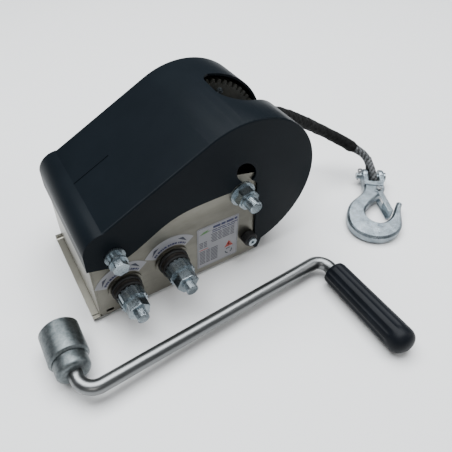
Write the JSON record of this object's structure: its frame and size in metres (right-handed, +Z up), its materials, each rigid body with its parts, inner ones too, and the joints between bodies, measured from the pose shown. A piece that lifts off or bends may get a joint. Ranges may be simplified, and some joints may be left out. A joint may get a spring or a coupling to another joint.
{
  "type": "boat trailer winch",
  "caption": "Two-speed geared hand winch in a U-channel frame under a teardrop plastic hood, with a loose crank and a rope tail ending in a clevis hook.",
  "frame": {"origin": "centre of the base bolt pattern, on the underside of the frame channel", "axes": "+Z up from the base; +X from the input shafts to the drum; -Y towards the crank side; the drum turns about Y"},
  "size_m": [0.4639, 0.3335, 0.187],
  "materials": {
    "zinc_sheet": "satin zinc plate",
    "bright_zinc": "bright zinc plate",
    "dark_zinc": "dull dark zinc plate",
    "cast_zinc": "grainy forged surface under bluish zinc",
    "polished_bar": "drawn and polished bar",
    "gear_steel": "dull phosphated steel",
    "dark_steel": "oiled steel",
    "spring_steel": "drawn wire",
    "bronze": "sintered bronze",
    "black_hood_plastic": "satin black with a fine grain",
    "black_grip_plastic": "satin black",
    "black_rubber": "matt black",
    "printed_label": "printed film",
    "rope_sheath": "black woven sleeve",
    "braided_rope": "grey and black braid",
    "friction_lining": "moulded lining"
  },
  "bodies": {
    "frame": {"frame_channel": "zinc_sheet", "end_plate": "zinc_sheet", "hood": "black_hood_plastic", "cover_bolts": "bright_zinc", "cover_nuts": "bright_zinc", "cover_collars": "black_rubber", "cover_screws": "bright_zinc", "rating_label": "printed_label", "shaft_labels": "printed_label", "drum_axle": "bright_zinc", "drum_axle_nut": "bright_zinc", "drum_axle_washers": "bright_zinc", "shaft_bushes": "zinc_sheet", "shaft_seals": "black_rubber", "thrust_rings": "bronze", "pawl_pin": "dark_steel", "pawl_spring": "spring_steel", "rope_tail": "rope_sheath", "rope_eye": "braided_rope"},
    "drum": {"drum_core": "zinc_sheet", "drum_flange": "zinc_sheet", "drum_gear": "gear_steel", "gear_bolts": "bright_zinc", "drum_bushes": "bronze", "rope_winding": "braided_rope"},
    "high_shaft": {"high_speed_shaft": "bright_zinc", "high_shaft_clip": "spring_steel", "high_drive_collar": "bright_zinc", "high_shaft_nut": "bright_zinc", "high_pinion": "gear_steel", "intermediate_gear": "gear_steel", "ratchet_wheel": "gear_steel", "friction_discs": "friction_lining", "pressure_hubs": "dark_steel"},
    "low_shaft": {"low_speed_shaft": "bright_zinc", "low_shaft_clip": "spring_steel", "low_drive_collar": "bright_zinc", "low_shaft_nut": "bright_zinc", "low_pinion": "gear_steel"},
    "pawl": {"pawl": "dark_steel"},
    "crank": {"crank_socket": "dark_zinc", "crank_hub": "dark_zinc", "crank_arm": "polished_bar", "grip_spindle": "polished_bar"},
    "grip": {"crank_grip": "black_grip_plastic"},
    "hook": {"hook_body": "cast_zinc", "clevis_pin": "bright_zinc", "split_pin": "spring_steel", "latch_rivet": "bright_zinc", "latch_spring": "spring_steel"},
    "latch": {"safety_latch": "bright_zinc"}
  },
  "joints": [
    {"name": "drum_spin", "type": "hinge", "parent": "frame", "child": "drum", "pos_m": [0.072, 0, 0.101], "axis": [0, 1, 0], "continuous": true},
    {"name": "high_shaft_spin", "type": "hinge", "parent": "frame", "child": "high_shaft", "pos_m": [-0.01001, 0, 0.04599], "axis": [0, 1, 0], "continuous": true},
    {"name": "low_shaft_spin", "type": "hinge", "parent": "frame", "child": "low_shaft", "pos_m": [-0.06301, 0, 0.03703], "axis": [0, 1, 0], "continuous": true},
    {"name": "pawl_swing", "type": "hinge", "parent": "frame", "child": "pawl", "pos_m": [-0.02401, 0, 0.08699], "axis": [0, 1, 0], "range_deg": [0, 14], "stiffness_Nm_per_rad": 0.02, "springref_deg": -5.73},
    {"name": "crank_lift", "type": "slide", "parent": "frame", "child": "crank", "axis": [0, 0, 1], "range_m": [0, 0.12]},
    {"name": "grip_spin", "type": "hinge", "parent": "crank", "child": "grip", "pos_m": [0.143, -0.2, 0.0148], "axis": [0, 1, 0], "continuous": true},
    {"name": "hook_pivot", "type": "hinge", "parent": "frame", "child": "hook", "pos_m": [0.289, -0.048, 0.0142], "axis": [-0.8, 0.6, 0], "range_deg": [0, 45]},
    {"name": "latch_swing", "type": "hinge", "parent": "hook", "child": "latch", "pos_m": [0.27444, -0.07324, 0.01215], "axis": [0.0424, 0.0565, -0.9975], "range_deg": [0, 25], "stiffness_Nm_per_rad": 0.02, "springref_deg": -5.73}
  ],
  "couplings": [
    {"joint": "high_shaft_spin", "follows": "drum_spin", "ratio": -3.6471},
    {"joint": "low_shaft_spin", "follows": "drum_spin", "ratio": 7.5546}
  ]
}
